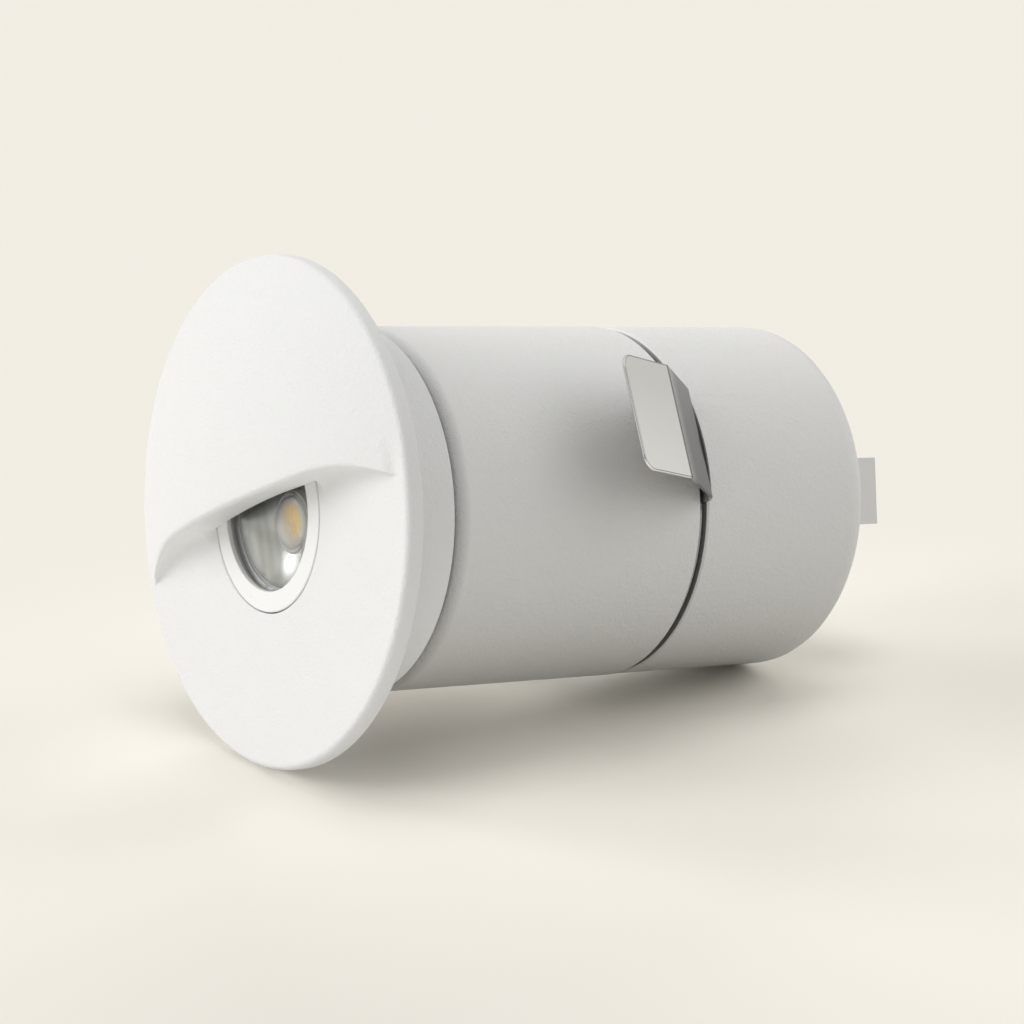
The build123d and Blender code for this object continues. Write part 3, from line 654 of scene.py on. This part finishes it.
class Finish(Nodes):
    """A material with a Principled shader."""

    def __init__(self, name, colour=(0.8, 0.8, 0.8), **sockets):
        self.material = bpy.data.materials.new(name)
        self.material.use_nodes = True
        super().__init__(self.material.node_tree)
        self.shader = self.tree.nodes["Principled BSDF"]
        self.shader.inputs["Base Color"].default_value = (*colour, 1)
        for key, value in sockets.items():
            self.shader.inputs[key.replace("_", " ").title()].default_value = value
        self.coordinates = self.add("ShaderNodeTexCoord").outputs["Object"]

    def noise(self, size, detail=2.0, stretch=(1, 1, 1)):
        """Noise whose lumps are about size millimetres across, from 0 to 1."""
        vector = self.coordinates
        if stretch != (1, 1, 1):
            vector = self.add("ShaderNodeMapping", {}, {"Vector": vector, "Scale": stretch}).outputs[0]
        sockets = {"Vector": vector, "Scale": 1 / (size * MM), "Detail": detail}
        return Signal(self, self.add("ShaderNodeTexNoise", {}, sockets).outputs["Fac"])

    def axes(self):
        """The surface's own coordinates, in millimetres."""
        node = self.add("ShaderNodeSeparateXYZ", {}, {0: self.coordinates})
        return [Signal(self, node.outputs[k]) * (1 / MM) for k in "XYZ"]

    def from_axis(self, drop=0.0):
        """Distance from an axis along Y, drop millimetres below the lamp's own."""
        x, _, z = self.axes()
        z = z + drop
        return (x * x + z * z) ** 0.5

    def bump(self, height, depth):
        """Raises the surface by height (0 to 1) times depth millimetres."""
        sockets = {"Height": height, "Distance": depth * MM, "Strength": 1.0}
        self.feed(self.shader.inputs["Normal"], self.add("ShaderNodeBump", {}, sockets).outputs[0])

    def colour(self, mask, low, high):
        """Base colour going from low to high as the mask goes from 0 to 1."""
        self.feed(self.shader.inputs["Base Color"], self.blend(mask, low, high))

    def rough(self, value):
        """Roughness, from a signal."""
        self.feed(self.shader.inputs["Roughness"], value)


def powder(name, colour, shade, grain, depth, roughness, coated=None):
    """Powder coat: fine grain over a softer orange peel, with a faint drift of tone. Where coated,
    worked out from the radius and depth, is 0, the casting is bare machined metal, dark with painted
    shade in the grooves and paler high up with painted light."""
    f = Finish(name, colour)
    fine, peel = f.noise(grain, 3.0), f.noise(grain * 2.6, 1.0)
    f.bump(fine * 0.6 + peel * 0.4, depth)
    coat = f.blend(f.noise(9.0, 2.0), shade, colour)
    if coated:
        # painted shade: the bare metal in the grooves is dark, and painted light makes it paler higher
        # up
        bare = f.blend(f.axes()[2].step(*GROOVE_PALE), SHADED_BARE_METAL, LIT_BARE_METAL)
        coat = f.blend(coated(f.from_axis(), f.axes()[1]), bare, coat)
    f.feed(f.shader.inputs["Base Color"], coat)
    f.rough(fine * 0.16 + (roughness - 0.08))
    return f.material


def tube_coat_and_shade(radius, y):
    """Painted shade: the colour turns partly to dark bare metal towards the tube's front lip, in the
    collar's groove. The coat stops at its spigot, whose bare metal is darkened as painted shade in the
    rear groove.
    """
    skin = radius.step(SPIGOT_RADIUS + 0.2, SPIGOT_RADIUS + 0.35)
    return skin * (y.step(TUBE_FRONT - 0.6, TUBE_FRONT + 2.6) * 0.62 + 0.38)


def cap_coat_and_shade(radius, y):
    """The cap's front edge and the notches in it are bare inside the corner of its skin, where the
    bare metal is darkened as painted shade in the groove and the notches.
    """
    skin = radius.step(CAP_RADIUS - 0.4, CAP_RADIUS - 0.25)
    return (skin + y.step(NOTCH_BACK + 0.3, NOTCH_BACK + 0.5)).limited()


def moulded(name, colour, shade, roughness, grain=0.5, depth=0.006):
    """Moulded plastic or rubber: faint grain and tone."""
    f = Finish(name, colour)
    fine = f.noise(grain, 2.0)
    f.bump(fine, depth)
    f.colour(f.noise(4.0, 2.0), shade, colour)
    f.rough(fine * 0.12 + (roughness - 0.06))
    return f.material


def metal(name, colour, shade, roughness):
    """Bare metal: fine marks that vary its gloss."""
    f = Finish(name, colour, metallic=1.0)
    marks = f.noise(0.4, 3.0)
    f.bump(marks, 0.002)
    f.colour(f.noise(3.0, 3.0), shade, colour)
    f.rough(marks * 0.12 + (roughness - 0.06))
    return f.material


def rolled_steel():
    """Bright rolled strip. Painted reflection makes it darker higher up, and painted shade and
    reflection darken it towards its root. A dark painted reflection runs along the bend, where it is
    also rougher, and the start of the rounded edge is darkened as a painted reflection of something
    dark."""
    f = Finish("spring_steel", metallic=1.0)
    f.feed(f.shader.inputs["Specular Tint"], (0.62, 0.62, 0.62, 1))
    marks = f.noise(0.7, 3.0)
    f.bump(marks, 0.001)
    _, y, z = f.axes()
    # painted reflection: a dark line along the bend, where the strip is also rougher
    off = y - BEND_REFLECTION_AT
    line = 1 - (off * off * BEND_REFLECTION**-2).limited()
    # painted reflection: the strip's colour is darker higher up
    upwards = (z + f.noise(3.0, 3.0) * 1.5).step(-4.0, 10.0)
    sheen = f.blend(upwards, (0.83, 0.845, 0.865), (0.70, 0.71, 0.725))
    # painted shade and reflection: the strip's colour darkens towards its root
    root = f.blend((y + f.noise(1.5, 2.0) * 0.3).step(*ROOT_SHADE), sheen, (0.30, 0.30, 0.31))
    bend_darkened = f.blend(line, root, (0.30, 0.29, 0.27))
    # painted reflection: the start of the rounded edge is darkened
    edge_reflection = Signal(f, f.add("ShaderNodeAttribute", {"attribute_name": "edge_reflection"}).outputs["Fac"])
    f.colour(edge_reflection * 0.85, bend_darkened, (0.05, 0.05, 0.05))
    f.rough(marks * 0.1 + 0.08 + line * 0.1)
    return f.material


def clear(name, ior, tint):
    """A clear cover: light passes straight through, and the surface reflects more at a low angle, as
    r + (1 - r) facing^5."""
    f = Finish(name, tint)
    facing = Signal(f, f.add("ShaderNodeLayerWeight", {}, {"Blend": 0.5}).outputs["Facing"])
    straight = ((ior - 1) / (ior + 1)) ** 2
    layer = facing ** 5.0 * (1 - straight) + straight
    through = f.add("ShaderNodeBsdfTransparent", {}, {"Color": (*tint, 1)})
    gloss = f.add("ShaderNodeBsdfGlossy", {}, {"Color": (1, 1, 1, 1), "Roughness": 0.02})
    smear = layer * (f.noise(3.0, 2.0) * 0.2 + 0.9)
    both = f.add("ShaderNodeMixShader", {}, {0: smear, 1: through.outputs[0], 2: gloss.outputs[0]})
    f.feed(f.tree.nodes["Material Output"].inputs["Surface"], both.outputs[0])
    f.tree.nodes.remove(f.shader)
    return f.material


def silicone_dome():
    """The LED's dome: soft silicone, hazy but for a window on the lamp's right side. The one-sided
    haze is a painted reflection.
    """
    f = Finish("silicone_dome", roughness=0.12)
    f.feed(f.shader.inputs["IOR"], 1.41)
    x, _, _ = f.axes()
    # painted reflection: a pale veil over the dome's left side, clear on its right
    haze_and_reflection = 1 - (x + f.noise(2.2, 2.0) * 0.9).step(0.7, 3.4)
    f.feed(f.shader.inputs["Alpha"], haze_and_reflection * 0.78 + 0.14)
    f.colour(f.noise(1.6, 2.0), (0.66, 0.63, 0.61), (0.80, 0.765, 0.745))
    f.bump(f.noise(0.8, 1.0), 0.01)
    return f.material


def phosphor():
    """Yellow phosphor inside a pale silicone dam. A weak glow brings it up to the photograph's
    tone."""
    f = Finish("phosphor", roughness=0.6)
    grain = f.noise(0.25, 2.0)
    yellow = f.blend(grain, (0.90, 0.64, 0.22), (0.98, 0.78, 0.36))
    rim = f.from_axis(OPTIC_DROP).step(PHOSPHOR_RADIUS - 0.25, PHOSPHOR_RADIUS + 0.1)
    tone = f.blend(rim, yellow, (0.70, 0.66, 0.62))
    f.feed(f.shader.inputs["Base Color"], tone)
    f.feed(f.shader.inputs["Emission Color"], tone)
    f.feed(f.shader.inputs["Emission Strength"], PHOSPHOR_GLOW)
    f.bump(grain, 0.01)
    f.rough(grain * 0.2 + 0.5)
    return f.material


def bowl_metal():
    """Metallised plastic with soft upright bands of painted reflection, standing in for its own far
    side that it mirrors. The flat shoulder round its mouth is bare, pale plastic."""
    f = Finish("reflector_chrome")
    bands = f.noise(2.6, 1.0, (1.0, 1.0, 0.18))
    bowl = 1 - f.from_axis().step(REFLECTOR_MOUTH - 0.05, REFLECTOR_MOUTH + 0.05)
    # painted reflection: upright bands of darker and lighter metal
    mirror = f.blend(bands.step(0.3, 0.7), (0.40, 0.40, 0.395), (0.66, 0.66, 0.65))
    f.colour(bowl, (0.74, 0.74, 0.73), mirror)
    f.feed(f.shader.inputs["Metallic"], bowl)
    f.bump(f.noise(1.2, 1.0), 0.004)
    f.rough(bands * 0.1 + 0.2 + (1 - bowl) * 0.25)
    return f.material


def dress(obj, material):
    """Gives a piece or CAD node its finish."""
    obj.data.materials.clear()
    obj.data.materials.append(material)


# painted shade and light: the bare metal of the grooves, dark low down and paler high up
SHADED_BARE_METAL, LIT_BARE_METAL = (0.26, 0.26, 0.26), (0.62, 0.62, 0.62)
GRAIN = 0.36                 # size of the powder coat's grain, mm
BODY_WHITE = ((0.80, 0.80, 0.79), (0.785, 0.785, 0.775))
powder_face = powder("powder_face", (0.785, 0.787, 0.785), (0.77, 0.772, 0.77), GRAIN, 0.17, 0.52)
powder_tube = powder("powder_tube", *BODY_WHITE, GRAIN, 0.2, 0.5, tube_coat_and_shade)
powder_cap = powder("powder_cap", *BODY_WHITE, GRAIN, 0.2, 0.5, cap_coat_and_shade)
satin = moulded("satin_white", (0.84, 0.84, 0.83), (0.82, 0.82, 0.81), 0.3, 0.8, 0.002)
spring_steel = rolled_steel()

dress(bezel, powder_face)
dress(trim_ring, satin)
dress(tube, powder_tube)
dress(cap, powder_cap)
dress(clip_right, spring_steel)
dress(clip_left, spring_steel)
dress(reflector, bowl_metal())
dress(window, clear("clear_cover", 1.45, (0.97, 0.98, 0.98)))
dress(lens, silicone_dome())

seal_grey = moulded("seal_grey", (0.16, 0.16, 0.16), (0.13, 0.13, 0.13), 0.6)
plated = metal("plated_screws", (0.62, 0.62, 0.6), (0.55, 0.55, 0.53), 0.3)
wire = moulded("wire_sleeve", (0.42, 0.03, 0.02), (0.36, 0.025, 0.02), 0.4)
finishes = {
    "wall_gasket": seal_grey,
    "window_gasket": moulded("seal_clear", (0.45, 0.45, 0.44), (0.40, 0.40, 0.39), 0.5),
    "collar_gasket": seal_grey,
    "terminal_gasket": seal_grey,
    "cap_seal": moulded("seal_black", (0.02, 0.02, 0.02), (0.03, 0.03, 0.03), 0.5),
    "led_emitter": phosphor(),
    "led_board": moulded("board_white", (0.78, 0.78, 0.77), (0.74, 0.74, 0.73), 0.4),
    "thermal_pad": moulded("pad_grey", (0.25, 0.28, 0.31), (0.22, 0.25, 0.28), 0.7),
    "heat_sink": metal("bare_aluminium", (0.62, 0.63, 0.64), (0.55, 0.56, 0.57), 0.4),
    "heat_sink_screws": plated,
    "terminal_screws": plated,
    "clip_ring": spring_steel,
    "driver_sleeve": moulded("sleeve_plastic", (0.75, 0.75, 0.72), (0.7, 0.7, 0.67), 0.4),
    "driver_board": moulded("board_green", (0.02, 0.12, 0.05), (0.02, 0.09, 0.04), 0.3),
    "transformer_core": moulded("ferrite", (0.03, 0.03, 0.035), (0.05, 0.05, 0.055), 0.7),
    "transformer_winding": moulded("winding_tape", (0.68, 0.42, 0.05), (0.6, 0.36, 0.04), 0.3),
    "electrolytic_capacitors": moulded(
        "can_sleeve", (0.02, 0.03, 0.08), (0.015, 0.02, 0.06), 0.25
    ),
    "film_capacitor": moulded("film_case", (0.6, 0.45, 0.05), (0.55, 0.4, 0.04), 0.3),
    "choke": moulded("choke_sleeve", (0.03, 0.03, 0.03), (0.05, 0.05, 0.05), 0.6),
    "fuse": moulded("fuse_body", (0.6, 0.62, 0.6), (0.55, 0.57, 0.55), 0.1),
    "driver_chips": moulded("chip_black", (0.02, 0.02, 0.02), (0.03, 0.03, 0.03), 0.5),
    "led_leads": wire,
    "mains_leads": wire,
    "terminal_block": moulded(
        "block_plastic", (0.78, 0.78, 0.765), (0.75, 0.75, 0.735), 0.42, 0.6, 0.004
    ),
    "terminal_contacts": metal("contact_brass", (0.62, 0.42, 0.14), (0.55, 0.37, 0.12), 0.3),
}
for name, material in finishes.items():
    dress(nodes[name], material)

# ---------------------------------------------------------------- floor, light, camera
DOWN = Vector((-0.430, 0.119, -0.895)).normalized()
BACKGROUND = (0.871, 0.839, 0.768)
FLOOR_DEPTH = 39.75 * MM
FLOOR_TONE = 0.915           # the lamps light the floor a little above its own colour
FLOOR_LIFT, LIFT_REACH = 0.22, 192.0    # and painted light makes it paler round the lamp, thinning out the shadow's tail
LIFT_CENTRE = (14.0, 55.3, -43.8)
FLOOR_BOUNCE = 0.6           # share of the floor's colour that lights the lamp from below
FLOOR_RADIUS = 2500
SOFT_LIGHT = 0.418           # strength of the even light


def floor_disc(radius, rings=24, steps=96):
    """A flat disc under the lamp: radius grows evenly from ring to ring."""
    up = np.array(-DOWN)
    side = np.cross(up, (0, 1, 0))
    side /= np.linalg.norm(side)
    ahead = np.cross(up, side)
    r = np.linspace(0, radius, rings)[:, None]
    a = np.linspace(0, 2 * pi, steps, endpoint=False)[None]
    middle = np.array((0, 50.0, 0))     # about the middle of the lamp
    centre = np.array(DOWN) * FLOOR_DEPTH / MM + middle - up * (up @ middle)
    points = centre + (r * np.cos(a))[..., None] * side + (r * np.sin(a))[..., None] * ahead
    return points.reshape(-1, 3), grid_faces(rings, steps, False, True)


def plain_view(nodes):
    """1 for what is seen, straight or by gloss or glass, and 0 for light; and 1 for the camera's own
    rays alone."""
    rays = nodes.add("ShaderNodeLightPath")
    kinds = ("Camera", "Glossy", "Transmission")
    seen = [Signal(nodes, rays.outputs[f"Is {kind} Ray"]) for kind in kinds]
    return (seen[0] + seen[1] + seen[2]).limited(), seen[0]


floor = piece("floor", *floor_disc(FLOOR_RADIUS), body=None)
if floor.data.polygons[0].normal.dot(DOWN) > 0:
    floor.data.flip_normals()
ground = Finish("pale_floor", BACKGROUND, roughness=0.9)
ground.feed(ground.shader.inputs["Specular IOR Level"], 0.0)
# the camera, gloss and glass see the pale floor, and the light that it throws back is held down
seen, _ = plain_view(ground)
# painted light: the floor's colour is lifted round the lamp so that the shadow's tail thins out
away = [(a - c) * (a - c) for a, c in zip(ground.axes(), LIFT_CENTRE)]
lift = (1 - (away[0] + away[1] + away[2]) * LIFT_REACH**-2).limited() ** 4.0
far_tone, near_tone = ([c * FLOOR_TONE * k for c in BACKGROUND] for k in (1, 1 + FLOOR_LIFT))
ground.colour(seen, [c * FLOOR_BOUNCE for c in BACKGROUND], ground.blend(lift, far_tone, near_tone))
geometry = ground.add("ShaderNodeNewGeometry")
unseen = ground.add("ShaderNodeBsdfTransparent")
sides = {0: geometry.outputs["Backfacing"], 1: ground.shader.outputs[0], 2: unseen.outputs[0]}
one_sided = ground.add("ShaderNodeMixShader", {}, sides)
ground.feed(ground.tree.nodes["Material Output"].inputs["Surface"], one_sided.outputs[0])
dress(floor, ground.material)

# the world: the background's colour wherever it is seen, an even soft light for everything else, and
# what metal and glass mirror: the background with a darker part of the room and a dark horizon
ROOM_TOWARDS = (0.86, -0.48, -0.16)
ROOM_CORE, ROOM_REACH, ROOM_SHARE = 18, 50, 0.88     # degrees, and how dark it is
HORIZON_WIDTH, HORIZON_SHARE = 0.09, 0.8
world = bpy.data.worlds.new("studio")
bpy.context.scene.world = world
world.use_nodes = True
world.node_tree.nodes.clear()
sky = Nodes(world.node_tree)
way = sky.add("ShaderNodeTexCoord").outputs["Generated"]


def cosine_to(direction):
    """Cosine of the angle between where a ray goes and a direction."""
    node = sky.add("ShaderNodeVectorMath", {"operation": "DOT_PRODUCT"}, {0: way, 1: direction})
    return Signal(sky, node.outputs["Value"])


dark_room = cosine_to(ROOM_TOWARDS).step(cos(radians(ROOM_REACH)), cos(radians(ROOM_CORE)))
above_floor = cosine_to(tuple(-DOWN))
wall_foot = 1 - (above_floor * above_floor * (1 / HORIZON_WIDTH**2)).limited()
any_view, camera_view = plain_view(sky)
darkness = (dark_room * ROOM_SHARE + wall_foot * HORIZON_SHARE).limited()
mirrored = sky.blend(darkness, BACKGROUND, (0.02, 0.02, 0.02))
colour = sky.blend(camera_view, mirrored, BACKGROUND)
shown = sky.add("ShaderNodeBackground", {}, {"Color": colour, "Strength": 1.0})
soft = sky.add("ShaderNodeBackground", {}, {"Color": (1.0, 0.995, 0.98, 1), "Strength": SOFT_LIGHT})
both = sky.add("ShaderNodeMixShader", {}, {0: any_view, 1: soft.outputs[0], 2: shown.outputs[0]})
sky.feed(sky.add("ShaderNodeOutputWorld").inputs["Surface"], both.outputs[0])


def gathered(name, objects):
    """A set of objects that a light is kept to."""
    group = bpy.data.collections.new(name)
    for obj in objects:
        group.objects.link(obj)
    return group


def lamp(name, direction, share, angle, receivers, mirrored=False):
    """A distant light from a direction, kept to its receivers. Its share is of what makes a white
    surface look white. Metal mirrors it only if asked."""
    light = bpy.data.lights.new(name, "SUN")
    light.energy, light.angle = share * pi, radians(angle)
    obj = bpy.data.objects.new(name, light)
    bpy.context.scene.collection.objects.link(obj)
    obj.rotation_mode = "QUATERNION"
    obj.rotation_quaternion = Vector(direction).to_track_quat("Z", "Y")
    obj.visible_glossy = mirrored
    obj.light_linking.receiver_collection = receivers
    return obj


# soft lights in two sets. One models the lamp: the strongest stands before and above its face, and
# the others open up its back and its right side. A weak one lights the front parts from below, and
# glint is only mirrored in the bowl and the dome. The other set lays the shadow on the floor.
SOFT_ANGLE, FLOOR_ANGLE, GLINT_ANGLE = 50, 30, 10
meshes = [o for o in bpy.context.scene.objects if o.type == "MESH" and o != floor]
lamp_only, floor_only = gathered("lamp_only", meshes), gathered("floor_only", [floor])
face_only = gathered("face_only", [bezel, trim_ring, reflector, lens, nodes["window_gasket"]])
bowl_only = gathered("bowl_only", [reflector, lens])
for name, direction, share in (
    ("front", (-0.243, -0.756, 0.608), 0.758),
    ("behind", (0.133, 0.765, 0.630), 0.219),
    ("right", (0.988, 0.088, 0.129), 0.184),
):
    lamp(name, direction, share, SOFT_ANGLE, lamp_only)
under_hood = lamp("under_hood", (-0.20, -0.35, -0.915), 0.25, SOFT_ANGLE, face_only)
under_hood.light_linking.blocker_collection = lamp_only
glint = lamp("glint", (-0.788, -0.512, 0.342), 0.06, GLINT_ANGLE, bowl_only, mirrored=True)
glint.visible_diffuse = False
for name, direction, share in (
    ("floor_above", (0.430, -0.119, 0.895), 0.192),
    ("floor_front_left", (-0.622, -0.595, 0.509), 0.505),
    ("floor_front", (-0.205, -0.943, 0.262), 0.504),
    ("floor_back_left", (-0.564, 0.533, 0.631), 0.494),
    ("floor_back_right", (0.499, 0.758, 0.420), 0.222),
):
    lamp(name, direction, share, FLOOR_ANGLE, floor_only)

camera = bpy.data.objects.new("camera", bpy.data.cameras.new("camera"))
bpy.context.scene.collection.objects.link(camera)
camera.data.sensor_width, camera.data.lens = 36.0, 112.94
camera.data.clip_start, camera.data.clip_end = 0.05, 20.0
right = Vector((0.55513, 0.81675, -0.15734)).normalized()
ahead = Vector((-0.79942, 0.57615, 0.17024)).normalized()
above = right.cross(ahead).normalized()
turn = Matrix((right, above, -ahead)).transposed().to_4x4()
camera.matrix_world = Matrix.Translation(Vector((419.74, -258.91, -90.75)) * MM) @ turn
bpy.context.scene.camera = camera
bpy.context.scene.view_settings.view_transform = "Standard"
